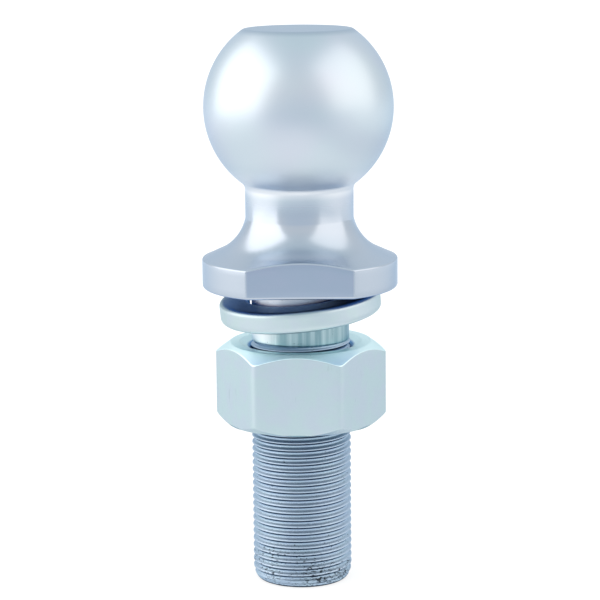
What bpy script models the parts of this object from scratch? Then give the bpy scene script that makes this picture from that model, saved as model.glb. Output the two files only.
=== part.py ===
"""Threaded tow ball: a forged ball stud, with the spring washer and hex nut that clamp it.

The frame is +Z up, in metres. The origin is the centre of the shank's end face, on which the
tow ball stands, and the stud's axis is Z. The front, with one wrench flat, faces -Y.
"""

import math

import bmesh
import bpy
from mathutils import Vector

# Ball
BALL_DIAMETER = 0.047625
TOP_FLAT_DROP = 0.00428
TOP_EDGE_RADIUS = 0.0016

# Neck and the flare under it, with angles measured from the stud's axis
NECK_DIAMETER = 0.02732
NECK_STRAIGHT_LENGTH = 0.0071
NECK_FILLET_RADIUS = 0.00225
FLARE_RADIUS = 0.0119
FLARE_TOP_ANGLE = math.radians(12.0)
FLARE_FOOT_ANGLE = math.radians(65.0)

# Flange
FLANGE_DIAMETER = 0.04936
FLANGE_RIM_HEIGHT = 0.0074
FLANGE_TOP_SLOPE = math.radians(25.0)
FLANGE_EDGE_ROUND = 0.0005
FLANGE_UNDER_CHAMFER = 0.0008
FLANGE_LAND_MIN_WIDTH = 0.001
WRENCH_FLAT_DEPTH = 0.00388

# Shank
THREAD_DIAMETER = 0.0253
THREAD_LENGTH = 0.0645
PLAIN_SHANK_LENGTH = 0.0117
PLAIN_SHANK_STEP = 0.0003
END_ROUND_WIDTH = 0.00185
END_ROUND_HEIGHT = 0.004

# Spring washer: a left-hand helix of one turn that hangs tilted on the shank, under the flange
WASHER_WIDTH = 0.0072
WASHER_THICKNESS = 0.0045
WASHER_EDGE_ROUND = 0.0009
WASHER_SPLIT_GAP = 0.003
WASHER_SPLIT_AZIMUTH = math.radians(140.0)
WASHER_END_OFFSET = 0.002
WASHER_TILT = math.radians(7.62)
WASHER_TILT_AZIMUTH = math.radians(61.6)
WASHER_SHANK_CLEARANCE = 0.0002
WASHER_SEAT_CLEARANCE = 0.00045

# Hex nut
NUT_ACROSS_FLATS = 0.0381
NUT_HEIGHT = 0.02055
NUT_CORNER_TRIM = 0.0005
NUT_FACE_INSET = 0.00045
NUT_CHAMFER_SLOPE = math.radians(40.7)
NUT_THREAD_CLEARANCE = 0.0003
NUT_COUNTERSINK = 0.00105
NUT_BELOW_WASHER = 0.0051
NUT_TURN = math.radians(-2.8)

# Facets
ROUND_STEPS = 64
WASHER_STEPS = 60
CORNER_STEPS = 3
BALL_STEPS = 20
FLARE_STEPS = 7
SHARP_EDGE_ANGLE = math.radians(28.0)
MERGE_DISTANCE = 0.00001
CUTTER_MARGIN = 0.002

# Sizes that follow from the ones above
ball_radius = BALL_DIAMETER / 2
neck_radius = NECK_DIAMETER / 2
flange_radius = FLANGE_DIAMETER / 2
thread_radius = THREAD_DIAMETER / 2
plain_radius = thread_radius - PLAIN_SHANK_STEP
seat_height = THREAD_LENGTH + PLAIN_SHANK_LENGTH
rim_top = seat_height + FLANGE_RIM_HEIGHT

flare_reach = math.cos(FLARE_TOP_ANGLE) - math.cos(FLARE_FOOT_ANGLE)
flare_room = flange_radius - FLANGE_EDGE_ROUND - FLANGE_LAND_MIN_WIDTH - neck_radius
flare_radius = min(FLARE_RADIUS, flare_room / flare_reach)
flare_foot_radius = neck_radius + flare_radius * flare_reach
land_width = flange_radius - FLANGE_EDGE_ROUND - flare_foot_radius
flare_foot = rim_top + land_width * math.tan(FLANGE_TOP_SLOPE)
flare_centre = (
    neck_radius + flare_radius * math.cos(FLARE_TOP_ANGLE),
    flare_foot + flare_radius * math.sin(FLARE_FOOT_ANGLE),
)
neck_foot = flare_centre[1] - flare_radius * math.sin(FLARE_TOP_ANGLE)
neck_top = neck_foot + NECK_STRAIGHT_LENGTH

fillet_centre_radius = neck_radius + NECK_FILLET_RADIUS
fillet_to_ball = math.sqrt((ball_radius + NECK_FILLET_RADIUS) ** 2 - fillet_centre_radius ** 2)
ball_height = neck_top + fillet_to_ball
top_height = ball_height + ball_radius - TOP_FLAT_DROP

washer_bore_radius = (
    thread_radius + WASHER_SHANK_CLEARANCE + WASHER_THICKNESS / 2 * math.sin(WASHER_TILT)
) / math.cos(WASHER_TILT)
washer_outer_radius = washer_bore_radius + WASHER_WIDTH
nut_bore_radius = thread_radius + NUT_THREAD_CLEARANCE
nut_corner_radius = NUT_ACROSS_FLATS / 2 / math.cos(math.radians(30.0)) - NUT_CORNER_TRIM
nut_face_radius = NUT_ACROSS_FLATS / 2 - NUT_FACE_INSET


def clear_scene():
    """Remove every object, so that the file can be run again from the text editor."""
    for old in list(bpy.data.objects):
        bpy.data.objects.remove(old, do_unlink=True)


def metal(name, colour, roughness):
    """A plated steel, from its linear colour and its roughness."""
    material = bpy.data.materials.new(name)
    material.use_nodes = True
    shader = material.node_tree.nodes["Principled BSDF"]
    shader.inputs["Base Color"].default_value = (*colour, 1.0)
    shader.inputs["Metallic"].default_value = 1.0
    shader.inputs["Roughness"].default_value = roughness
    return material


def arc(centre, radius, start, end, steps):
    """Points (r, z) on an arc, from one angle to the other, both measured from the r axis."""
    points = []
    for i in range(steps + 1):
        angle = start + (end - start) * i / steps
        points.append((centre[0] + radius * math.cos(angle), centre[1] + radius * math.sin(angle)))
    return points


def new_object(name, mesh):
    thing = bpy.data.objects.new(name, mesh)
    bpy.context.scene.collection.objects.link(thing)
    return thing


def turned(name, profile, closed):
    """Turn a profile of (r, z) points round Z. The profile runs down the outer side."""
    edges = [(i, i + 1) for i in range(len(profile) - 1)]
    if closed:
        edges.append((len(profile) - 1, 0))
    mesh = bpy.data.meshes.new(name)
    mesh.from_pydata([(r, 0.0, z) for r, z in profile], edges, [])
    thing = new_object(name, mesh)
    screw = thing.modifiers.new("turn", "SCREW")
    screw.axis = "Z"
    screw.steps = ROUND_STEPS
    screw.render_steps = ROUND_STEPS
    screw.use_merge_vertices = True
    screw.merge_threshold = MERGE_DISTANCE
    return thing


def cutter(name, mesh):
    """A shape that only cuts another, and is not a piece of the tow ball."""
    tool = new_object(name, mesh)
    tool.hide_render = True
    tool.display_type = "WIRE"
    return tool


def block(name, low, high):
    """A box cutter between two corners."""
    form = bmesh.new()
    bmesh.ops.create_cube(form, size=1.0)
    for vertex in form.verts:
        vertex.co = Vector(low[i] if vertex.co[i] < 0 else high[i] for i in range(3))
    mesh = bpy.data.meshes.new(name)
    form.to_mesh(mesh)
    form.free()
    return cutter(name, mesh)


def combine(thing, tool, operation):
    boolean = thing.modifiers.new(tool.name, "BOOLEAN")
    boolean.operation = operation
    boolean.solver = "EXACT"
    boolean.object = tool


def finish(thing, material, tools=()):
    """Apply the modifiers, take the cutters away, and shade the round faces smooth."""
    bpy.context.view_layer.update()
    depsgraph = bpy.context.evaluated_depsgraph_get()
    mesh = bpy.data.meshes.new_from_object(thing.evaluated_get(depsgraph))
    thing.modifiers.clear()
    thing.data = mesh
    for tool in tools:
        bpy.data.objects.remove(tool, do_unlink=True)
    mesh.materials.clear()
    mesh.materials.append(material)
    mesh.shade_smooth()
    mesh.set_sharp_from_angle(angle=SHARP_EDGE_ANGLE)


def ball_profile():
    """The ball's outline: its top flat, the soft edge, and the sphere down to the neck."""
    edge_height = top_height - TOP_EDGE_RADIUS
    edge_radius = math.sqrt((ball_radius - TOP_EDGE_RADIUS) ** 2 - (edge_height - ball_height) ** 2)
    sphere_start = math.atan2(edge_height - ball_height, edge_radius)
    sphere_end = -math.atan2(fillet_to_ball, fillet_centre_radius)
    points = [(0.0, top_height)]
    points += arc((edge_radius, edge_height), TOP_EDGE_RADIUS, math.pi / 2, sphere_start, CORNER_STEPS)
    points += arc((0.0, ball_height), ball_radius, sphere_start, sphere_end, BALL_STEPS)[1:]
    return points


def neck_profile():
    """The fillet under the ball, the straight neck, and the hollow flare down to the flange."""
    ball_side = math.pi - math.atan2(fillet_to_ball, fillet_centre_radius)
    points = arc((fillet_centre_radius, neck_top), NECK_FILLET_RADIUS, ball_side, math.pi, CORNER_STEPS)[1:]
    points += arc(
        flare_centre, flare_radius, math.pi + FLARE_TOP_ANGLE, math.pi + FLARE_FOOT_ANGLE, FLARE_STEPS
    )
    return points


def flange_profile():
    """The sloping top, the rounded edge, the rim and the chamfered underside."""
    edge = (flange_radius - FLANGE_EDGE_ROUND, rim_top - FLANGE_EDGE_ROUND)
    points = arc(edge, FLANGE_EDGE_ROUND, math.pi / 2, 0.0, CORNER_STEPS)
    points.append((flange_radius, seat_height + FLANGE_UNDER_CHAMFER))
    points.append((flange_radius - FLANGE_UNDER_CHAMFER, seat_height))
    return points


def shank_profile():
    """The plain shank, the thread at its crest diameter, and the rounded end."""
    points = [(plain_radius, seat_height), (plain_radius, THREAD_LENGTH), (thread_radius, THREAD_LENGTH)]
    end_steps = CORNER_STEPS + 2
    for i in range(end_steps + 1):
        angle = math.pi / 2 * i / end_steps
        radius = thread_radius - END_ROUND_WIDTH * (1.0 - math.cos(angle))
        points.append((radius, END_ROUND_HEIGHT * (1.0 - math.sin(angle))))
    points.append((0.0, 0.0))
    return points


def make_ball_stud(material):
    """Ball, neck, flange and shank are one forging, turned all over, with two milled flats."""
    profile = ball_profile() + neck_profile() + flange_profile() + shank_profile()
    stud = turned("ball_stud", profile, closed=False)
    reach = flange_radius + CUTTER_MARGIN
    flat = flange_radius - WRENCH_FLAT_DEPTH
    low = seat_height - CUTTER_MARGIN
    tools = [
        block("front_flat", (-reach, -reach, low), (reach, -flat, neck_foot)),
        block("back_flat", (-reach, flat, low), (reach, reach, neck_foot)),
    ]
    for tool in tools:
        combine(stud, tool, "DIFFERENCE")
    finish(stud, material, tools)
    return stud


def washer_section():
    """Rounded rectangle in the (r, z) plane, centred on the washer's middle height."""
    low_r = washer_bore_radius + WASHER_EDGE_ROUND
    high_r = washer_outer_radius - WASHER_EDGE_ROUND
    high_z = WASHER_THICKNESS / 2 - WASHER_EDGE_ROUND
    corners = [(high_r, high_z), (low_r, high_z), (low_r, -high_z), (high_r, -high_z)]
    points = []
    for quarter, centre in enumerate(corners):
        start = quarter * math.pi / 2
        points += arc(centre, WASHER_EDGE_ROUND, start, start + math.pi / 2, CORNER_STEPS)
    return points


def make_spring_washer(material):
    """A bar of rounded section wound into one open turn, whose ends stand apart in height."""
    gap_angle = WASHER_SPLIT_GAP / (washer_bore_radius + WASHER_WIDTH / 2)
    start = WASHER_SPLIT_AZIMUTH + gap_angle / 2
    form = bmesh.new()
    section = []
    for r, z in washer_section():
        place = (r * math.cos(start), r * math.sin(start), z + WASHER_END_OFFSET / 2)
        section.append(form.verts.new(place))
    face = form.faces.new(section)
    bmesh.ops.spin(
        form,
        geom=[face, *face.edges, *face.verts],
        cent=(0.0, 0.0, 0.0),
        axis=(0.0, 0.0, 1.0),
        dvec=(0.0, 0.0, -WASHER_END_OFFSET / WASHER_STEPS),
        angle=2 * math.pi - gap_angle,
        steps=WASHER_STEPS,
    )
    bmesh.ops.recalc_face_normals(form, faces=form.faces[:])
    mesh = bpy.data.meshes.new("spring_washer")
    form.to_mesh(mesh)
    form.free()
    washer = new_object("spring_washer", mesh)
    washer.rotation_mode = "AXIS_ANGLE"
    lean = WASHER_TILT_AZIMUTH - math.pi / 2
    washer.rotation_axis_angle = (WASHER_TILT, math.cos(lean), math.sin(lean), 0.0)
    low, high = height_span(washer)
    washer.location.z = seat_height - WASHER_SEAT_CLEARANCE - high
    finish(washer, material)
    return washer


def height_span(thing):
    """The lowest and highest point of an object, in world space."""
    bpy.context.view_layer.update()
    heights = [(thing.matrix_world @ vertex.co).z for vertex in thing.data.vertices]
    return min(heights), max(heights)


def make_hex_nut(material, top):
    """Hexagon bar, bored and countersunk, with both end faces turned to a chamfer."""
    bottom = top - NUT_HEIGHT
    chamfer = (nut_corner_radius - nut_face_radius) * math.tan(NUT_CHAMFER_SLOPE)
    profile = [
        (nut_bore_radius + NUT_COUNTERSINK, 0.0),
        (nut_bore_radius, NUT_COUNTERSINK),
        (nut_bore_radius, NUT_HEIGHT - NUT_COUNTERSINK),
        (nut_bore_radius + NUT_COUNTERSINK, NUT_HEIGHT),
        (nut_face_radius, NUT_HEIGHT),
        (nut_corner_radius, NUT_HEIGHT - chamfer),
        (nut_corner_radius, chamfer),
        (nut_face_radius, 0.0),
    ]
    nut = turned("hex_nut", profile, closed=True)
    form = bmesh.new()
    bmesh.ops.create_cone(
        form,
        cap_ends=True,
        segments=6,
        radius1=NUT_ACROSS_FLATS / 2 / math.cos(math.radians(30.0)),
        radius2=NUT_ACROSS_FLATS / 2 / math.cos(math.radians(30.0)),
        depth=NUT_HEIGHT + 2 * CUTTER_MARGIN,
    )
    for vertex in form.verts:
        vertex.co = Vector((vertex.co.y, -vertex.co.x, vertex.co.z + NUT_HEIGHT / 2))
    mesh = bpy.data.meshes.new("hexagon")
    form.to_mesh(mesh)
    form.free()
    hexagon = cutter("hexagon", mesh)
    combine(nut, hexagon, "INTERSECT")
    finish(nut, material, [hexagon])
    nut.location.z = bottom
    nut.rotation_euler.z = NUT_TURN
    return nut


def build():
    clear_scene()
    bright_zinc = metal("bright_zinc_plate", (0.43, 0.50, 0.60), 0.30)
    passivated_zinc = metal("blue_passivated_zinc", (0.56, 0.66, 0.70), 0.38)
    make_ball_stud(bright_zinc)
    washer = make_spring_washer(passivated_zinc)
    washer_bottom = height_span(washer)[0]
    make_hex_nut(passivated_zinc, washer_bottom - NUT_BELOW_WASHER)


build()
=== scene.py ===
"""Threaded tow ball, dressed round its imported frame.

The sections follow the object as it is put together: the ball with its neck and flange, the
threaded shank below it, the spring washer, the hex nut, and last the studio it stands in.
Lengths are in metres, +Z is up, and the front with one wrench flat faces -Y.
"""

import math

import bmesh
import bpy
import numpy as np
from mathutils import Euler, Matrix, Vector


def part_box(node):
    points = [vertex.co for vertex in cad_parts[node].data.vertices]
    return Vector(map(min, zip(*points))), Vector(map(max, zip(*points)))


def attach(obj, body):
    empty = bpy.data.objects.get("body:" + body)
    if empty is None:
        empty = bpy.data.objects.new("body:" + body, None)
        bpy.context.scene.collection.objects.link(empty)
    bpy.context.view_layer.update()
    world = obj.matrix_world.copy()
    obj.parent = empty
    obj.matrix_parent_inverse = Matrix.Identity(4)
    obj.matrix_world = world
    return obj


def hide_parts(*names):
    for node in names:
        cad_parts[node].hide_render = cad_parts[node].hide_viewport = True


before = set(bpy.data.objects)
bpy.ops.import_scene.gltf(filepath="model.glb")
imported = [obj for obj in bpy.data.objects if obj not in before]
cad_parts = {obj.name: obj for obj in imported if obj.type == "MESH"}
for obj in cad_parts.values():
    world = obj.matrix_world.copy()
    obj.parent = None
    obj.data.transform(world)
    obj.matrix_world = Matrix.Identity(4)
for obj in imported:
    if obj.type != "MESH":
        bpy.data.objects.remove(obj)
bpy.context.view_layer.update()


# Ball, neck and flange
# The upper part of one steel forging, turned all over on a lathe, with two flats milled
# across its flange for a spanner, then zinc plated bright. The camera sees most of it.

stud_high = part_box("ball_stud")[1]
BALL_RADIUS = 0.0238125
TOP_FLAT_DROP = 0.00428
TOP_EDGE_RADIUS = 0.0016
NECK_RADIUS = 0.01366
NECK_FILLET_RADIUS = 0.00225
FLARE_RADIUS = 0.0119
FLARE_TOP_ANGLE = 12.0
FLARE_FOOT_ANGLE = 65.0
SEAT_HEIGHT = 0.0762
RIM_HEIGHT = 0.0074
RIM_EDGE_RADIUS = 0.00045
RIM_UNDER_RADIUS = 0.0007
FLANGE_TOP_SLOPE = math.radians(25.0)
WRENCH_FLAT_DEPTH = 0.00388
FLAT_CORNER_SHARPNESS = 260.0
WELD_DISTANCE = 0.000002


def arc(centre, radius, start, end, steps):
    """Points of an arc in the (r, z) plane: centre plus radius times the cosine and sine of
    an angle that goes evenly from start to end, in degrees."""
    angle = np.radians(np.linspace(start, end, steps + 1))
    return np.stack([centre[0] + radius * np.cos(angle), centre[1] + radius * np.sin(angle)], axis=-1)


def line(start, end, steps):
    """Points spaced evenly along a straight line, both ends included."""
    part = np.linspace(0.0, 1.0, steps + 1)[:, None]
    return np.asarray(start) * (1.0 - part) + np.asarray(end) * part


def grid_mesh(name, points, wrap_rows=False, wrap_columns=True, seam_shift=0):
    """A mesh from a grid of points. Each cell is one face between rows i, i + 1 and columns
    j, j + 1. Where the columns run round the axis the last joins the first, shifted up by
    seam_shift rows if the grid is wound as a helix."""
    rows, columns = points.shape[:2]
    row = np.arange(rows if wrap_rows else rows - 1)[:, None]
    column = np.arange(columns if wrap_columns else columns - 1)[None, :]
    shift = np.where(column == columns - 1, seam_shift, 0)
    below = (row + 1) % rows
    far = (column + 1) % columns

    def index(which_row, which_column):
        return np.clip(which_row, 0, rows - 1) * columns + which_column

    corners = [index(row, column), index(below, column), index(below - shift, far), index(row - shift, far)]
    faces = np.stack(np.broadcast_arrays(*corners), axis=-1).reshape(-1, 4)
    mesh = bpy.data.meshes.new(name)
    mesh.from_pydata(points.reshape(-1, 3).tolist(), [], faces.tolist())
    return mesh


def tidy_surface(mesh, sharp_angle):
    """Weld the seam and the poles, drop faces of no area, turn the rest outwards, and shade
    smooth but for edges sharper than the angle, in degrees."""
    form = bmesh.new()
    form.from_mesh(mesh)
    bmesh.ops.remove_doubles(form, verts=form.verts, dist=WELD_DISTANCE)
    bmesh.ops.dissolve_degenerate(form, edges=form.edges, dist=WELD_DISTANCE)
    bmesh.ops.recalc_face_normals(form, faces=form.faces)
    form.to_mesh(mesh)
    form.free()
    mesh.shade_smooth()
    mesh.set_sharp_from_angle(angle=math.radians(sharp_angle))


def show(mesh, *materials):
    """Put a mesh in the scene at the origin, with its materials."""
    piece = bpy.data.objects.new(mesh.name, mesh)
    bpy.context.scene.collection.objects.link(piece)
    for material in materials:
        mesh.materials.append(material)
    return piece


def add(tree, kind, settings=None, links=None):
    """Add a shader node. Settings are its properties. Links are its input sockets, each with
    a plain value or the output socket that feeds it."""
    made = tree.nodes.new(kind)
    for name, value in (settings or {}).items():
        setattr(made, name, value)
    for name, value in (links or {}).items():
        if isinstance(value, bpy.types.NodeSocket):
            tree.links.new(value, made.inputs[name])
        else:
            made.inputs[name].default_value = value
    return made


def linear(hex_colour):
    """A sRGB hex colour as linear red, green, blue and alpha."""
    parts = [int(hex_colour[i:i + 2], 16) / 255.0 for i in (1, 3, 5)]
    return [p / 12.92 if p <= 0.04045 else ((p + 0.055) / 1.055) ** 2.4 for p in parts] + [1.0]


def new_metal(name, edge_tint):
    """A material with a Principled shader set to metal, which turns this tint where it is seen
    at a glancing angle. Returns it, its tree and its shader."""
    material = bpy.data.materials.new(name)
    material.use_nodes = True
    tree = material.node_tree
    shader = tree.nodes["Principled BSDF"]
    shader.inputs["Metallic"].default_value = 1.0
    shader.inputs["Specular Tint"].default_value = linear(edge_tint)
    return material, tree, shader


def noise(tree, place, size, detail=2.0, stretch=(1.0, 1.0, 1.0)):
    """Noise whose features are about size across, in metres, and longer along an axis by that
    axis's stretch. Returns its factor, which lies mostly between 0.3 and 0.7."""
    scale = [1.0 / (size * s) for s in stretch]
    mapped = add(tree, "ShaderNodeMapping", None, {"Vector": place, "Scale": scale})
    inputs = {"Vector": mapped.outputs[0], "Scale": 1.0, "Detail": detail}
    return add(tree, "ShaderNodeTexNoise", None, inputs).outputs[0]


def remap(tree, value, low, high, new_low, new_high, smooth=False):
    """The value carried from one range to another, clamped at both ends."""
    kind = "SMOOTHSTEP" if smooth else "LINEAR"
    made = add(
        tree,
        "ShaderNodeMapRange",
        {"interpolation_type": kind},
        {"Value": value, "From Min": low, "From Max": high, "To Min": new_low, "To Max": new_high},
    )
    return made.outputs["Result"]


def combine(tree, operation, first, second):
    """Two values joined by this operation of a math node."""
    return add(tree, "ShaderNodeMath", {"operation": operation}, {0: first, 1: second}).outputs[0]


def blend_colours(tree, part, first, second):
    """The first colour where part is 0 and the second where it is 1."""
    made = add(tree, "ShaderNodeMix", {"data_type": "RGBA"})
    for socket, value in ((made.inputs[0], part), (made.inputs[6], first), (made.inputs[7], second)):
        if isinstance(value, bpy.types.NodeSocket):
            tree.links.new(value, socket)
        else:
            socket.default_value = value
    return made.outputs[2]


def place_parts(tree):
    """The place on the piece as one vector, and its X, Y and Z."""
    place = add(tree, "ShaderNodeTexCoord").outputs["Object"]
    return place, add(tree, "ShaderNodeSeparateXYZ", None, {0: place}).outputs


def from_axis(tree, parts):
    """The distance from the lathe's axis: the length of X and Y taken as a vector."""
    flat = add(tree, "ShaderNodeCombineXYZ", None, {"X": parts["X"], "Y": parts["Y"]}).outputs[0]
    return add(tree, "ShaderNodeVectorMath", {"operation": "LENGTH"}, {0: flat}).outputs["Value"]


def facing_up(tree):
    """The normal's Z: 1 on a level top face, 0 on a wall and -1 underneath."""
    normal = add(tree, "ShaderNodeTexCoord").outputs["Normal"]
    return add(tree, "ShaderNodeSeparateXYZ", None, {0: normal}).outputs["Z"]


def bump(tree, shader, height, distance):
    """Fine relief: the height's full range stands for this distance, in metres."""
    made = add(tree, "ShaderNodeBump", None, {"Height": height, "Strength": 1.0, "Distance": distance})
    tree.links.new(made.outputs[0], shader.inputs["Normal"])


# Bright zinc over a turned surface: a satin metal with a cool lilac and blue cast. It spreads a
# lamp into a wide soft glow. The neck and the flare are glossier, with faint rings from the lathe
# tool, and their colour is a darker copy of the ball's, painted shade. A paler band round the
# fillet under the ball is painted light. The flat top is painted darker, painted shade. The seat
# face underneath is painted a deep blue, painted shade that the washer reflects.
ZINC_EDGE_TINT = "#D2E0EE"
CLOUD_SIZE = 0.022
TOOL_MARK_SIZE = 0.0007
TOOL_MARK_DEPTH = 0.000002
NECK_FOOT = 0.0915
NECK_TOP = 0.0955
BALL_FOOT = 0.1015
PAINTED_LIGHT_BAND = (0.0992, 0.1012, 0.1025, 0.108)
FACED_DEPTH = 0.0014
FLARE_ROUGHNESS = 0.27
NECK_ROUGHNESS = 0.21
BALL_ROUGHNESS = 0.38


def bright_zinc():
    """Height tells the zones apart, and each fades into the next over a few millimetres. The
    painted light band's four heights are where it starts, is full, starts to fade and is gone."""
    material, tree, shader = new_metal("bright_zinc_on_turned_steel", ZINC_EDGE_TINT)
    place, parts = place_parts(tree)
    height = parts["Z"]
    clouds = remap(tree, noise(tree, place, CLOUD_SIZE), 0.38, 0.62, 0.0, 1.0)
    colour = blend_colours(tree, clouds, linear("#CBD3DF"), linear("#C9D6DF"))
    # Below the ball the neck and flare take a darker copy of the colour: painted shade.
    on_ball = remap(tree, height, NECK_TOP, BALL_FOOT, 0.0, 1.0, True)
    colour = blend_colours(tree, on_ball, linear("#BAC5D2"), colour)
    # The flat top is painted a darker tone: painted shade.
    faced = remap(tree, height, stud_high.z - FACED_DEPTH, stud_high.z - 0.0001, 0.0, 1.0, True)
    colour = blend_colours(tree, faced, colour, linear("#B4C2CF"))
    # The band round the fillet under the ball is painted light.
    start, full, fading, gone = PAINTED_LIGHT_BAND
    above_neck = remap(tree, height, start, full, 0.0, 1.0, True)
    under_ball = remap(tree, height, fading, gone, 1.0, 0.0, True)
    painted_light = combine(tree, "MULTIPLY", above_neck, under_ball)
    colour = blend_colours(tree, painted_light, colour, linear("#DFE5EC"))
    # The seat face under the flange is painted deep blue: painted shade, which the washer's top face
    # reflects.
    seat = remap(tree, height, SEAT_HEIGHT, SEAT_HEIGHT + RIM_UNDER_RADIUS * 0.5, 1.0, 0.0)
    colour = blend_colours(tree, seat, colour, linear("#3268B4"))
    tree.links.new(colour, shader.inputs["Base Color"])
    on_neck = remap(tree, height, NECK_FOOT - 0.002, NECK_FOOT + 0.001, 0.0, 1.0, True)
    roughness = remap(tree, on_neck, 0.0, 1.0, FLARE_ROUGHNESS, NECK_ROUGHNESS)
    rougher = remap(tree, on_ball, 0.0, 1.0, 0.0, BALL_ROUGHNESS - NECK_ROUGHNESS)
    tree.links.new(combine(tree, "ADD", roughness, rougher), shader.inputs["Roughness"])
    ring = add(tree, "ShaderNodeCombineXYZ", None, {"X": from_axis(tree, parts), "Z": height}).outputs[0]
    marks = noise(tree, ring, TOOL_MARK_SIZE, detail=1.0)
    marks = combine(tree, "MULTIPLY", marks, combine(tree, "SUBTRACT", 1.0, on_ball))
    bump(tree, shader, marks, TOOL_MARK_DEPTH)
    return material


# A milled flat under the same plating: straight tool marks along the cut make it duller than
# the turned faces. Its colour is painted darker than theirs: painted shade.
MILL_MARK_SIZE = 0.0003
MILL_MARK_DEPTH = 0.000006
MILL_PATCH_SIZE = 0.009


def milled_zinc():
    material, tree, shader = new_metal("bright_zinc_on_milled_flat", ZINC_EDGE_TINT)
    place = place_parts(tree)[0]
    patches = noise(tree, place, MILL_PATCH_SIZE, stretch=(2.0, 2.0, 1.0))
    patches = remap(tree, patches, 0.35, 0.65, 0.0, 1.0)
    # The flat's darker colour is painted shade.
    colour = blend_colours(tree, patches, linear("#A1B3C6"), linear("#A6B3C8"))
    tree.links.new(colour, shader.inputs["Base Color"])
    marks = noise(tree, place, MILL_MARK_SIZE, detail=3.0, stretch=(40.0, 40.0, 1.0))
    tree.links.new(remap(tree, marks, 0.3, 0.7, 0.3, 0.4), shader.inputs["Roughness"])
    bump(tree, shader, marks, MILL_MARK_DEPTH)
    return material


def head_columns(corner_angle):
    """Angles of the grid's columns, closest at the four ends of the wrench flats, where each
    flat's edge needs a column of its own."""
    near = np.radians([-3.0, -2.0, -1.3, -0.8, -0.4, 0.0, 0.4, 0.8, 1.3, 2.0, 3.0])
    corners = [corner_angle, math.pi - corner_angle, math.pi + corner_angle, 2 * math.pi - corner_angle]
    pieces = []
    for i, corner in enumerate(corners):
        following = corners[(i + 1) % 4] + (2 * math.pi if i == 3 else 0.0)
        pieces.append(corner + near)
        pieces.append(np.linspace(corner + near[-1], following + near[0], 60)[1:-1])
    return np.concatenate(pieces)


def flange_column(radius, foot, rim_top):
    """Profile of the flange in one half-plane: down the sloping top to this outer radius,
    round the edge, down the rim, and round under it to the seat."""
    slope_end = radius - RIM_EDGE_RADIUS
    edge_height = rim_top + (stud_high.x - RIM_EDGE_RADIUS - slope_end) * math.tan(FLANGE_TOP_SLOPE)
    slope = line(foot, (slope_end, edge_height), 8)[1:]
    edge = arc((slope_end, edge_height - RIM_EDGE_RADIUS), RIM_EDGE_RADIUS, 90.0, 0.0, 6)[1:]
    under_centre = (radius - RIM_UNDER_RADIUS, SEAT_HEIGHT + RIM_UNDER_RADIUS)
    under = arc(under_centre, RIM_UNDER_RADIUS, 0.0, -90.0, 6)
    rim = line(edge[-1], under[0], 5)[1:-1]
    return np.concatenate([slope, edge, rim, under])


rim_radius = stud_high.x
rim_top = SEAT_HEIGHT + RIM_HEIGHT
flat_distance = rim_radius - WRENCH_FLAT_DEPTH
flare_reach = math.cos(math.radians(FLARE_TOP_ANGLE)) - math.cos(math.radians(FLARE_FOOT_ANGLE))
flare_foot_radius = NECK_RADIUS + FLARE_RADIUS * flare_reach
flare_foot = rim_top + (rim_radius - RIM_EDGE_RADIUS - flare_foot_radius) * math.tan(FLANGE_TOP_SLOPE)
flare_centre = (
    NECK_RADIUS + FLARE_RADIUS * math.cos(math.radians(FLARE_TOP_ANGLE)),
    flare_foot + FLARE_RADIUS * math.sin(math.radians(FLARE_FOOT_ANGLE)),
)
ball_height = stud_high.z - BALL_RADIUS + TOP_FLAT_DROP
fillet_radius = NECK_RADIUS + NECK_FILLET_RADIUS
fillet_drop = math.sqrt((BALL_RADIUS + NECK_FILLET_RADIUS) ** 2 - fillet_radius ** 2)
fillet_turn = math.degrees(math.atan2(fillet_drop, fillet_radius))
edge_height = stud_high.z - TOP_EDGE_RADIUS
edge_radius = math.sqrt((BALL_RADIUS - TOP_EDGE_RADIUS) ** 2 - (edge_height - ball_height) ** 2)
edge_turn = math.degrees(math.atan2(edge_height - ball_height, edge_radius))

upper_profile = np.concatenate([
    line((0.0, stud_high.z), (edge_radius, stud_high.z), 8),
    arc((edge_radius, edge_height), TOP_EDGE_RADIUS, 90.0, edge_turn, 8)[1:],
    arc((0.0, ball_height), BALL_RADIUS, edge_turn, -fillet_turn, 90)[1:],
    arc((fillet_radius, ball_height - fillet_drop), NECK_FILLET_RADIUS, 180.0 - fillet_turn, 180.0, 10)[1:],
    arc(flare_centre, FLARE_RADIUS, 180.0 + FLARE_TOP_ANGLE, 180.0 + FLARE_FOOT_ANGLE, 40),
])
head_angles = head_columns(math.asin(flat_distance / rim_radius))
flat_radius = flat_distance / np.maximum(np.abs(np.sin(head_angles)), 1e-6)
past_flat = (rim_radius / flat_radius) ** FLAT_CORNER_SHARPNESS
outer_radius = rim_radius * (1.0 + past_flat) ** (-1.0 / FLAT_CORNER_SHARPNESS)
flange_profiles = np.stack([flange_column(r, upper_profile[-1], rim_top) for r in outer_radius], axis=1)
upper_profiles = np.repeat(upper_profile[:, None, :], len(head_angles), axis=1)
seat_middle = np.zeros_like(flange_profiles[-1]) + (0.0, SEAT_HEIGHT)
seat_profiles = np.linspace(flange_profiles[-1], seat_middle, 9)[1:]
head_profiles = np.concatenate([upper_profiles, flange_profiles, seat_profiles])
head_points = np.stack(
    [
        head_profiles[..., 0] * np.cos(head_angles),
        head_profiles[..., 0] * np.sin(head_angles),
        head_profiles[..., 1],
    ],
    axis=-1,
)
head_mesh = grid_mesh("ball_and_flange", head_points)
tidy_surface(head_mesh, sharp_angle=30.0)
ball_head = show(head_mesh, bright_zinc(), milled_zinc())

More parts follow.
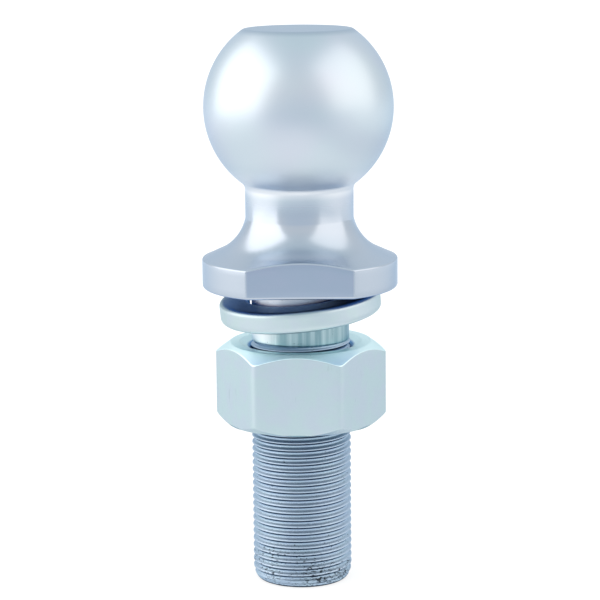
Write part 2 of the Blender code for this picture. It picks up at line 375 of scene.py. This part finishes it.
# The faces that lie on a wrench flat take the second material: they face straight out and are
# as far from the axis as the flat.
FLAT_FACING = 0.995
FLAT_TOLERANCE = 0.0001
face_count = len(head_mesh.polygons)
centres = np.empty(face_count * 3)
normals = np.empty(face_count * 3)
head_mesh.polygons.foreach_get("center", centres)
head_mesh.polygons.foreach_get("normal", normals)
centres = centres.reshape(-1, 3)
normals = normals.reshape(-1, 3)
on_flat = np.abs(normals[:, 1]) > FLAT_FACING
on_flat &= np.abs(np.abs(centres[:, 1]) - flat_distance) < FLAT_TOLERANCE
on_flat &= centres[:, 2] < flare_foot + RIM_HEIGHT
head_mesh.polygons.foreach_set("material_index", on_flat.astype(np.int32))
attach(ball_head, "stud")
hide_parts("ball_stud")


# Threaded shank
# The lower part of the same forging: a plain shank under the flange, then a right-hand thread,
# rolled to 14 turns an inch, with some dark dirt from the workshop left on its last turns.

THREAD_PITCH = 0.0254 / 14
THREAD_CREST_RADIUS = 0.01265
THREAD_DEPTH = 0.00078
PLAIN_SHANK_RADIUS = 0.01235
THREAD_TOP = 0.0629
RUN_OUT_LENGTH = 0.0009
END_ROUND_WIDTH = 0.00185
END_ROUND_HEIGHT = 0.004
SHANK_COLUMNS = 144
SHANK_BURIED = 0.0004
CREST_HALF_WIDTH = 0.05
FLANK_LENGTH = 0.34
STRAIGHT_SHARE = 0.65
CREST_PHASES = np.array([0.0, 0.035, 0.075, 0.14, 0.25, 0.36, 0.43, 0.5])


def thread_groove(phase):
    """How deep the groove is, from 0 on the crest to 1 in the root, with the phase in turns
    from a crest's middle: a flat crest, a straight flank and a root, eased into each other."""
    from_crest = np.abs(phase - np.round(phase))
    part = np.clip((from_crest - CREST_HALF_WIDTH) / FLANK_LENGTH, 0.0, 1.0)
    return part * STRAIGHT_SHARE + (1.0 - STRAIGHT_SHARE) * part * part * (3.0 - 2.0 * part)


def shank_points():
    """The shank as a grid wound along the thread: a column is an angle, a row is a phase of
    the thread, and each row climbs one pitch in a turn. The radius is the crest's less the
    groove, faded out over the run-out, and no more than the rounded end allows."""
    phases = np.concatenate([CREST_PHASES, 1.0 - CREST_PHASES[-2:0:-1]])
    top = SEAT_HEIGHT + SHANK_BURIED
    turns = int(math.ceil(top / THREAD_PITCH)) + 2
    row_phase = (np.arange(turns)[:, None] + phases[None, :]).reshape(-1)
    angle = 2 * math.pi * np.arange(SHANK_COLUMNS) / SHANK_COLUMNS
    free = top + THREAD_PITCH * (1.0 - row_phase[:, None] + angle[None, :] / (2 * math.pi))
    height = np.clip(free, 0.0, top)
    phase = height / THREAD_PITCH - angle[None, :] / (2 * math.pi)
    phase += row_phase[0] - (free[0, 0] / THREAD_PITCH)
    fade = np.clip((THREAD_TOP - height) / RUN_OUT_LENGTH, 0.0, 1.0)
    threaded = THREAD_CREST_RADIUS - THREAD_DEPTH * thread_groove(phase)
    radius = PLAIN_SHANK_RADIUS * (1.0 - fade) + threaded * fade
    rise = np.clip(height / END_ROUND_HEIGHT, 0.0, 1.0)
    end = THREAD_CREST_RADIUS - END_ROUND_WIDTH * (1.0 - np.sqrt(1.0 - (1.0 - rise) ** 2))
    radius = np.minimum(radius, end)
    body = np.stack([radius * np.cos(angle), radius * np.sin(angle), height], axis=-1)
    caps = []
    for edge in (body[0], body[-1]):
        caps.append([edge * (part, part, 1.0) for part in (0.0, 0.5)])
    return np.concatenate([caps[0], body, caps[1][::-1]]), len(phases)


# Rolled zinc thread: duller and bluer than the ball. A paler colour along each crest is a painted
# highlight, and the dark under each turn is painted shade. Specks of dirt lie thick on the last few
# turns, with a few above. The plain shank over it is glossier and greener, with upright streaks; a
# pale side is a painted highlight, and a pale band under the flange is painted light.
THREAD_CLOUD_SIZE = 0.006
THREAD_ROUGHNESS = 0.46
PLAIN_ROUGHNESS = 0.32
STREAK_SIZE = 0.0014
PAINTED_HIGHLIGHT_EDGE = -0.0105
PAINTED_HIGHLIGHT_FADE = 0.006
PAINTED_SHANK_LIGHT_FOOT = 0.07
PAINTED_SHANK_LIGHT_FADE = 0.0028
SPECK_SIZE = 0.0005
SPECK_DEPTH = 0.000006
DIRT_PATCH_SIZE = 0.007
DIRT_THICK = 0.004
DIRT_TOP = 0.017
DIRT_LIMIT = 0.7


def thread_zinc():
    """The plain shank's colours lie over the thread's, and the dirt over both. Dirt shows where
    the fine noise of the specks, raised low down and in patches, passes the limit."""
    material, tree, shader = new_metal("zinc_on_rolled_thread", ZINC_EDGE_TINT)
    place, parts = place_parts(tree)
    height = parts["Z"]
    # A paler colour along each crest is a painted highlight.
    middle_of_flank = THREAD_CREST_RADIUS - THREAD_DEPTH * 0.5
    near_crest = THREAD_CREST_RADIUS - 0.00005
    crest = remap(tree, from_axis(tree, parts), middle_of_flank, near_crest, 0.0, 1.0, True)
    clouds = remap(tree, noise(tree, place, THREAD_CLOUD_SIZE), 0.35, 0.65, 0.0, 1.0)
    flank = blend_colours(tree, clouds, linear("#ABC0D6"), linear("#ADC4D6"))
    metal = blend_colours(tree, crest, flank, linear("#B6C8DB"))
    # The dark on the underside of each turn is painted shade.
    shade_under_turns = remap(tree, facing_up(tree), -0.7, -0.45, 1.0, 0.0, True)
    metal = blend_colours(tree, shade_under_turns, metal, linear("#2C3B4E"))
    streaks = noise(tree, place, STREAK_SIZE, stretch=(1.0, 1.0, 25.0))
    streaks = remap(tree, streaks, 0.4, 0.66, 0.0, 1.0)
    plain_metal = blend_colours(tree, streaks, linear("#86A6AF"), linear("#AFC8CE"))
    # The pale left side of the plain shank is a painted highlight.
    painted_highlight = remap(tree, parts["X"], PAINTED_HIGHLIGHT_EDGE, PAINTED_HIGHLIGHT_EDGE + PAINTED_HIGHLIGHT_FADE, 1.0, 0.0, True)
    plain_metal = blend_colours(tree, painted_highlight, plain_metal, linear("#E6EEF2"))
    # The pale band under the flange is painted light, where the shank lies in shade.
    painted_shank_light = remap(tree, height, PAINTED_SHANK_LIGHT_FOOT, PAINTED_SHANK_LIGHT_FOOT + PAINTED_SHANK_LIGHT_FADE, 0.0, 1.0, True)
    plain_metal = blend_colours(tree, painted_shank_light, plain_metal, linear("#D8DEE8"))
    plain = remap(tree, height, THREAD_TOP - 0.0008, THREAD_TOP, 0.0, 1.0, True)
    metal = blend_colours(tree, plain, metal, plain_metal)
    specks = noise(tree, place, SPECK_SIZE, detail=3.0, stretch=(1.6, 1.6, 0.5))
    low_down = remap(tree, height, DIRT_THICK, DIRT_TOP, 0.13, 0.0, True)
    patches = noise(tree, place, DIRT_PATCH_SIZE, stretch=(1.6, 1.6, 0.7))
    patches = remap(tree, patches, 0.35, 0.7, -0.06, 0.08)
    dirty = combine(tree, "ADD", combine(tree, "ADD", specks, low_down), patches)
    dirt = remap(tree, dirty, DIRT_LIMIT, DIRT_LIMIT + 0.06, 0.0, 0.9)
    tree.links.new(blend_colours(tree, dirt, metal, linear("#2A3038")), shader.inputs["Base Color"])
    roughness = remap(tree, plain, 0.0, 1.0, THREAD_ROUGHNESS, PLAIN_ROUGHNESS)
    tree.links.new(roughness, shader.inputs["Roughness"])
    bump(tree, shader, specks, SPECK_DEPTH)
    return material


shank_grid, rows_per_turn = shank_points()
shank_mesh = grid_mesh("threaded_shank", shank_grid, seam_shift=rows_per_turn)
tidy_surface(shank_mesh, sharp_angle=50.0)
shank = show(shank_mesh, thread_zinc())
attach(shank, "stud")
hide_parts("ball_stud")


# Spring washer
# A bar of spring steel of rounded section, coiled one turn left-handed and cut off, then zinc
# plated and passivated. It hangs loose and tilted on the plain shank, jammed under the flange.

WASHER_BORE_RADIUS = 0.01326
WASHER_OUTER_RADIUS = 0.02046
WASHER_THICKNESS = 0.0055
WASHER_TOP_ROUND = 0.0012
WASHER_FOOT_ROUND = 0.0015
WASHER_BORE_ROUND = 0.0007
WASHER_SPLIT_GAP = 0.003
WASHER_CUT_NORMAL = math.radians(10.0)
WASHER_CUT_DISTANCE = -0.01037
WASHER_END_OFFSET = 0.0006
WASHER_TILT = math.radians(6.2)
WASHER_TILT_AZIMUTH = math.radians(26.0)
WASHER_FLANGE_GAP = 0.00025
WASHER_COLUMNS = 220
WASHER_END_ROUND = 0.0003


def washer_section():
    """The bar's section in the (r, z) plane, anticlockwise from its outer top corner, with
    wider rounds on the two outer edges than on the two at the bore."""
    half = WASHER_THICKNESS / 2
    corners = [
        ((WASHER_OUTER_RADIUS, half), (-1, -1), WASHER_TOP_ROUND),
        ((WASHER_BORE_RADIUS, half), (1, -1), WASHER_BORE_ROUND),
        ((WASHER_BORE_RADIUS, -half), (1, 1), WASHER_BORE_ROUND),
        ((WASHER_OUTER_RADIUS, -half), (-1, 1), WASHER_FOOT_ROUND),
    ]
    pieces = []
    for quarter, (corner, inward, radius) in enumerate(corners):
        centre = (corner[0] + inward[0] * radius, corner[1] + inward[1] * radius)
        pieces.append(arc(centre, radius, quarter * 90.0, quarter * 90.0 + 90.0, 6))
    ends = [(pieces[i][-1], pieces[(i + 1) % 4][0]) for i in range(4)]
    sides = [line(first, second, 6)[1:-1] for first, second in ends]
    return np.concatenate([part for pair in zip(pieces, sides) for part in pair])


def washer_end_angle(radius, side):
    """The angle at which one face of the saw cut crosses this radius. The cut is a straight slot
    askew to the bar, and side is -1 or 1 for the face at which the turn starts or ends."""
    distance = WASHER_CUT_DISTANCE + side * WASHER_SPLIT_GAP / 2
    return WASHER_CUT_NORMAL + np.arccos(distance / radius)


def washer_points():
    """The section carried round the axis from one face of the split to the other, while it
    drops by the end offset, and closed at each end by two shrinking copies and a middle
    point. The whole is then leant over and hung just under the flange."""
    section = washer_section()
    middle = section.mean(axis=0)
    end_round = WASHER_END_ROUND / WASHER_OUTER_RADIUS / (2 * math.pi)
    part = np.linspace(0.0, 1.0, WASHER_COLUMNS)
    part = np.concatenate([[0.0, 0.0, end_round * 0.3], part[1:-1], [1.0 - end_round * 0.3, 1.0, 1.0]])
    size = np.ones(len(part))
    size[[0, -1]] = 0.0
    size[[1, -2]] = 0.94
    size[[2, -3]] = 0.98
    flat = middle + (section[None] - middle) * size[:, None, None]
    radius = flat[..., 0]
    start = washer_end_angle(radius, -1)
    sweep = 2 * math.pi + washer_end_angle(radius, 1) - start
    angle = start + sweep * part[:, None]
    height = flat[..., 1] + WASHER_END_OFFSET * (0.5 - part[:, None])
    level = np.stack([radius * np.cos(angle), radius * np.sin(angle), height], axis=-1)
    uphill = np.array([math.cos(WASHER_TILT_AZIMUTH), math.sin(WASHER_TILT_AZIMUTH), 0.0])
    along = level @ uphill
    cosine = math.cos(WASHER_TILT)
    sine = math.sin(WASHER_TILT)
    tilted = level + (along * (cosine - 1.0) - level[..., 2] * sine)[..., None] * uphill
    tilted[..., 2] = along * sine + level[..., 2] * cosine
    tilted[..., 2] += SEAT_HEIGHT - WASHER_FLANGE_GAP - tilted[..., 2].max()
    return tilted


# Zinc plate with a clear blue passivation, on pieces plated in a barrel: paler and greener than
# the ball, half matt, with faint stains where the rinse dried and small scratches. Faces that look
# up are painted: darker on the washer, painted shade, and lighter on the nut, painted light. In
# the bore a deep blue is painted shade.
PASSIVATED_EDGE_TINT = "#DCE8EC"
STAIN_SIZE = 0.005
SCRATCH_SIZE = 0.00045
SCRATCH_PATCH_SIZE = 0.009
GRAIN_SIZE = 0.0006
GRAIN_DEPTH = 0.00001
PAINTED_BORE_SHADE_DEPTH = 0.0012


def passivated_zinc(name, light, dark, upper, bore_radius):
    """Light and dark are the tones of the stains, and upper is a colour painted on faces that look
    up: painted shade on the washer, painted light on the nut. Close round the bore's radius a deep blue of
    painted shade lies over all of them."""
    material, tree, shader = new_metal(name, PASSIVATED_EDGE_TINT)
    place, parts = place_parts(tree)
    stains = remap(tree, noise(tree, place, STAIN_SIZE, detail=4.0), 0.36, 0.64, 0.0, 1.0, True)
    colour = blend_colours(tree, stains, linear(light), linear(dark))
    # Faces that look up take the upper colour: painted shade on the washer, painted light on the nut.
    looks_up = remap(tree, facing_up(tree), 0.15, 0.6, 0.0, 1.0, True)
    colour = blend_colours(tree, looks_up, colour, linear(upper))
    scratches = noise(tree, place, SCRATCH_SIZE, stretch=(1.0, 1.0, 9.0))
    scratches = combine(tree, "MULTIPLY", scratches, noise(tree, place, SCRATCH_PATCH_SIZE))
    scratches = remap(tree, scratches, 0.40, 0.50, 0.0, 0.3)
    colour = blend_colours(tree, scratches, colour, linear("#8FA7AE"))
    # The deep blue round the bore is painted shade.
    radius = from_axis(tree, parts)
    painted_bore_shade = remap(tree, radius, bore_radius + 0.0004, bore_radius + PAINTED_BORE_SHADE_DEPTH, 1.0, 0.0, True)
    colour = blend_colours(tree, painted_bore_shade, colour, linear("#4C8AC8"))
    tree.links.new(colour, shader.inputs["Base Color"])
    grain = noise(tree, place, GRAIN_SIZE, detail=3.0)
    tree.links.new(remap(tree, grain, 0.3, 0.7, 0.33, 0.43), shader.inputs["Roughness"])
    bump(tree, shader, grain, GRAIN_DEPTH)
    return material


washer_grid = washer_points().transpose(1, 0, 2)
washer_mesh = grid_mesh("split_washer", washer_grid, wrap_rows=True, wrap_columns=False)
tidy_surface(washer_mesh, sharp_angle=40.0)
# The washer's upper faces are painted darker: painted shade under the flange.
washer_zinc = passivated_zinc(
    "blue_passivated_zinc_on_washer", "#C4D3DB", "#C3D5D9", "#92A8B4", WASHER_BORE_RADIUS
)
washer = show(washer_mesh, washer_zinc)
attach(washer, "washer")
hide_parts("spring_washer")


# Hex nut
# Cut from hexagon bar, drilled and tapped, with both end faces turned to a chamfer that leaves
# a curved edge on each flat, then plated like the washer. It is screwed part of the way up.

nut_low, nut_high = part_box("hex_nut")
NUT_ACROSS_FLATS = 0.0381
NUT_CORNER_TRIM = 0.0005
NUT_UPPER_FACE_RADIUS = 0.0179
NUT_LOWER_FACE_RADIUS = 0.019
NUT_CHAMFER_SLOPE = math.tan(math.radians(36.0))
NUT_BORE_RADIUS = 0.01272
NUT_BORE_LEAD = 0.0006
NUT_COUNTERSINK_RADIUS = 0.0156
NUT_COUNTERSINK_FOOT = 0.0138
NUT_COUNTERSINK_DEPTH = 0.0008
NUT_TURN = math.radians(-2.8)
NUT_CORNER_SHARPNESS = 80.0
NUT_CORNER_EASE = 0.985
NUT_EDGE_RADIUS = 0.0003
NUT_COLUMNS = 480


def soft_corner(before, corner, after, reach, steps):
    """A corner between two straight lines, rounded by a curve that leaves each line at this
    distance from the corner: the even mix of the three points that a quadratic curve has. A
    point further out on each line keeps the shading of the flat sides flat."""
    first = corner + (before - corner) * (reach / np.linalg.norm(before - corner, axis=-1, keepdims=True))
    last = corner + (after - corner) * (reach / np.linalg.norm(after - corner, axis=-1, keepdims=True))
    part = np.linspace(0.0, 1.0, steps + 1)[:, None, None]
    curve = first * (1 - part) ** 2 + corner * 2 * part * (1 - part) + last * part ** 2
    return np.concatenate([[first + (first - corner) * 0.4], curve, [last + (last - corner) * 0.4]])


def nut_points():
    """Each column is a half-plane's outline. Its outer radius is a power mean of the distances
    to the hexagon's sides and to the bar's round corners, which rounds the six edges. From
    there the chamfer's cone is followed inwards to the flat face, and so down into the bore."""
    angle = 2 * math.pi * np.arange(NUT_COLUMNS) / NUT_COLUMNS
    sides = np.radians(np.arange(6) * 60.0 + 30.0) + NUT_TURN
    facing = np.maximum(np.cos(angle[:, None] - sides), 1e-3) / (NUT_ACROSS_FLATS / 2)
    corner_radius = NUT_ACROSS_FLATS / 2 / math.cos(math.radians(30.0)) - NUT_CORNER_TRIM
    total = (facing ** NUT_CORNER_SHARPNESS).sum(axis=1)
    total += (NUT_CORNER_EASE / corner_radius) ** NUT_CORNER_SHARPNESS
    outer = total ** (-1.0 / NUT_CORNER_SHARPNESS)
    half = (nut_high.z - nut_low.z) / 2

    def ring(radius, height):
        return np.stack(np.broadcast_arrays(radius, height + 0.0 * angle), axis=-1)

    def half_outline(face_radius):
        bore_middle = ring(NUT_BORE_RADIUS, 0.0)
        bore_edge = ring(NUT_BORE_RADIUS, half - NUT_COUNTERSINK_DEPTH - NUT_BORE_LEAD)
        sink_foot = ring(NUT_COUNTERSINK_FOOT, half - NUT_COUNTERSINK_DEPTH)
        face_inner = ring(NUT_COUNTERSINK_RADIUS, half)
        face_outer = ring(face_radius, half)
        shoulder = ring(outer, half - (outer - face_radius) * NUT_CHAMFER_SLOPE)
        side_middle = ring(outer, 0.0)
        small = NUT_EDGE_RADIUS * 0.6
        return np.concatenate([
            bore_middle[None],
            bore_edge[None],
            sink_foot[None],
            soft_corner(sink_foot, face_inner, face_outer, small, 4),
            soft_corner(face_inner, face_outer, shoulder, small, 4),
            soft_corner(face_outer, shoulder, side_middle, NUT_EDGE_RADIUS * 0.8, 6),
            side_middle[None],
        ])

    upper = half_outline(NUT_UPPER_FACE_RADIUS)
    lower = half_outline(NUT_LOWER_FACE_RADIUS)[-2:0:-1] * (1.0, -1.0)
    outline = np.concatenate([upper, lower])
    middle = (nut_high.z + nut_low.z) / 2
    radius = outline[..., 0]
    return np.stack([radius * np.cos(angle), radius * np.sin(angle), outline[..., 1] + middle], axis=-1)


nut_mesh = grid_mesh("hexagon_nut", nut_points(), wrap_rows=True)
tidy_surface(nut_mesh, sharp_angle=35.0)
# The nut's upper faces are painted lighter: painted light.
nut_zinc = passivated_zinc("blue_passivated_zinc_on_nut", "#C0CFDA", "#BED2D8", "#E0F9FF", NUT_BORE_RADIUS)
nut = show(nut_mesh, nut_zinc)
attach(nut, "nut")
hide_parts("hex_nut")


# Studio
# A white table that runs out of sight behind the tow ball, a soft box on each side, and a cool
# dim room behind the camera, which gives the metal its darker middle.

CAMERA_DISTANCE = 0.5794
CAMERA_HEIGHT = 0.1807
CAMERA_SIDE = 0.00093
CAMERA_PITCH = math.radians(10.59)
CAMERA_ROLL = math.radians(0.53)
CAMERA_LENS = 139.5
TABLE_HALF = 12.0

table_form = bmesh.new()
bmesh.ops.create_grid(table_form, x_segments=1, y_segments=1, size=TABLE_HALF)
table_mesh = bpy.data.meshes.new("table")
table_form.to_mesh(table_mesh)
table_form.free()


# The lit sheet lies under the tow ball and far behind it, where it is brighter. Tubes light it
# from below, and between the middle one and those beside it the sheet is greyer, more so on the
# right. In front the sheet ends, and what the metal finds there is the cooler, dimmer side of
# the studio where the camera stands.
TABLE_GLOW = 0.78
GLOW_BEHIND = 0.89
BEHIND_START = 0.12
BEHIND_FULL = 0.5
SHEET_FRONT = 0.27
SHEET_GONE = 0.5
TUBE_EDGE = 0.09
TUBE_FADE = 0.08
TUBE_SPREAD = 0.2
NEXT_TUBE = 0.42
NEXT_TUBE_FADE = 0.14
LEFT_SHARE = 0.35


def white_table():
    """White acrylic, lit from below so that things on it cast next to no shadow. Rays from the
    camera and from the metal see that light."""
    material = bpy.data.materials.new("white_acrylic_light_table")
    material.use_nodes = True
    tree = material.node_tree
    shader = tree.nodes["Principled BSDF"]
    shader.inputs["Roughness"].default_value = 0.9
    shader.inputs["Specular IOR Level"].default_value = 0.0
    parts = place_parts(tree)[1]
    gone = remap(tree, parts["Y"], -SHEET_GONE, -SHEET_FRONT, 1.0, 0.0, True)
    surface = blend_colours(tree, gone, linear("#959697"), linear("#6F7880"))
    tree.links.new(surface, shader.inputs["Base Color"])
    across = combine(tree, "ABSOLUTE", parts["X"], 0.0)
    aside = combine(tree, "SUBTRACT", across, combine(tree, "MULTIPLY", parts["Y"], TUBE_SPREAD))
    past_tube = remap(tree, aside, TUBE_EDGE, TUBE_EDGE + TUBE_FADE, 0.0, 1.0, True)
    before_next = remap(tree, across, NEXT_TUBE - NEXT_TUBE_FADE, NEXT_TUBE, 1.0, 0.0, True)
    side = remap(tree, parts["X"], -0.05, 0.05, LEFT_SHARE, 1.0, True)
    between = combine(tree, "MULTIPLY", combine(tree, "MULTIPLY", past_tube, before_next), side)
    lit = blend_colours(tree, gone, linear("#FFFFFF"), linear("#DFE7ED"))
    lit = blend_colours(tree, between, lit, linear("#DDE2E8"))
    tree.links.new(lit, shader.inputs["Emission Color"])
    rays = add(tree, "ShaderNodeLightPath").outputs
    seen = combine(tree, "MAXIMUM", rays["Is Camera Ray"], rays["Is Glossy Ray"])
    seen = combine(tree, "MAXIMUM", seen, rays["Is Transmission Ray"])
    glow = remap(tree, parts["Y"], BEHIND_START, BEHIND_FULL, TABLE_GLOW, GLOW_BEHIND, True)
    tree.links.new(combine(tree, "MULTIPLY", seen, glow), shader.inputs["Emission Strength"])
    return material


table = show(table_mesh, white_table())


# The room: white all round, brighter behind the tow ball, a little dimmer overhead, and cool and
# dim low down on the camera's side. Each share comes from where a direction points.
ROOM_WHITE = (1.0, 1.0, 1.0, 1.0)
ROOM_ABOVE = (0.83, 0.92, 0.96, 1.0)
ROOM_DIM = (0.86, 0.92, 0.99, 1.0)
ROOM_BEHIND = (1.11, 1.11, 1.11, 1.0)
ROOM_STRENGTH = 0.92

world = bpy.data.worlds.new("studio")
bpy.context.scene.world = world
world.use_nodes = True
room = world.node_tree
direction = add(room, "ShaderNodeTexCoord").outputs["Generated"]
ways = add(room, "ShaderNodeSeparateXYZ", None, {0: direction}).outputs
overhead = remap(room, ways["Z"], 0.4, 0.95, 0.0, 1.0, True)
room_colour = blend_colours(room, overhead, ROOM_WHITE, ROOM_ABOVE)
ahead = remap(room, ways["Y"], -0.98, -0.72, 1.0, 0.0, True)
low = remap(room, ways["Z"], 0.1, 0.5, 1.0, 0.0, True)
room_colour = blend_colours(room, combine(room, "MULTIPLY", ahead, low), room_colour, ROOM_DIM)
behind = remap(room, ways["Y"], 0.5, 0.9, 0.0, 1.0, True)
room_colour = blend_colours(room, behind, room_colour, ROOM_BEHIND)
room.links.new(room_colour, room.nodes["Background"].inputs["Color"])
room.nodes["Background"].inputs["Strength"].default_value = ROOM_STRENGTH


def soft_box(name, place, aim, width, height, radiance, colour):
    """A rectangular lamp whose face shines with this radiance, where 1 is white. Its power is
    the radiance times pi times its area."""
    lamp = bpy.data.lights.new(name, "AREA")
    lamp.shape = "RECTANGLE"
    lamp.size = width
    lamp.size_y = height
    lamp.energy = radiance * math.pi * width * height
    lamp.color = linear(colour)[:3]
    thing = bpy.data.objects.new(name, lamp)
    bpy.context.scene.collection.objects.link(thing)
    thing.location = place
    towards = Vector(aim) - Vector(place)
    thing.rotation_euler = towards.to_track_quat("-Z", "Y").to_euler()


# The left lamp is the brighter one. Both are a little warm, so that their glow on the cool zinc
# comes out nearly white.
LAMP_AIM = (0.0, 0.0, 0.10)
soft_box(
    "soft_box_left", (-0.85, -0.12, 0.53), LAMP_AIM, width=1.5, height=1.18, radiance=1.16, colour="#FFF2E7"
)
soft_box(
    "soft_box_right", (0.83, -0.27, 0.6), LAMP_AIM, width=1.3, height=1.22, radiance=0.7, colour="#FFF0E3"
)

# A long lens a little above the tow ball, rolled by half a degree.
camera_data = bpy.data.cameras.new("camera")
camera_data.lens = CAMERA_LENS
camera_data.clip_start = 0.01
camera_data.clip_end = 100.0
camera = bpy.data.objects.new("camera", camera_data)
bpy.context.scene.collection.objects.link(camera)
camera.location = (CAMERA_SIDE, -CAMERA_DISTANCE, CAMERA_HEIGHT)
camera.rotation_euler = Euler((math.pi / 2 - CAMERA_PITCH, CAMERA_ROLL, 0.0), "XYZ")
bpy.context.scene.camera = camera
bpy.context.scene.view_settings.view_transform = "Standard"
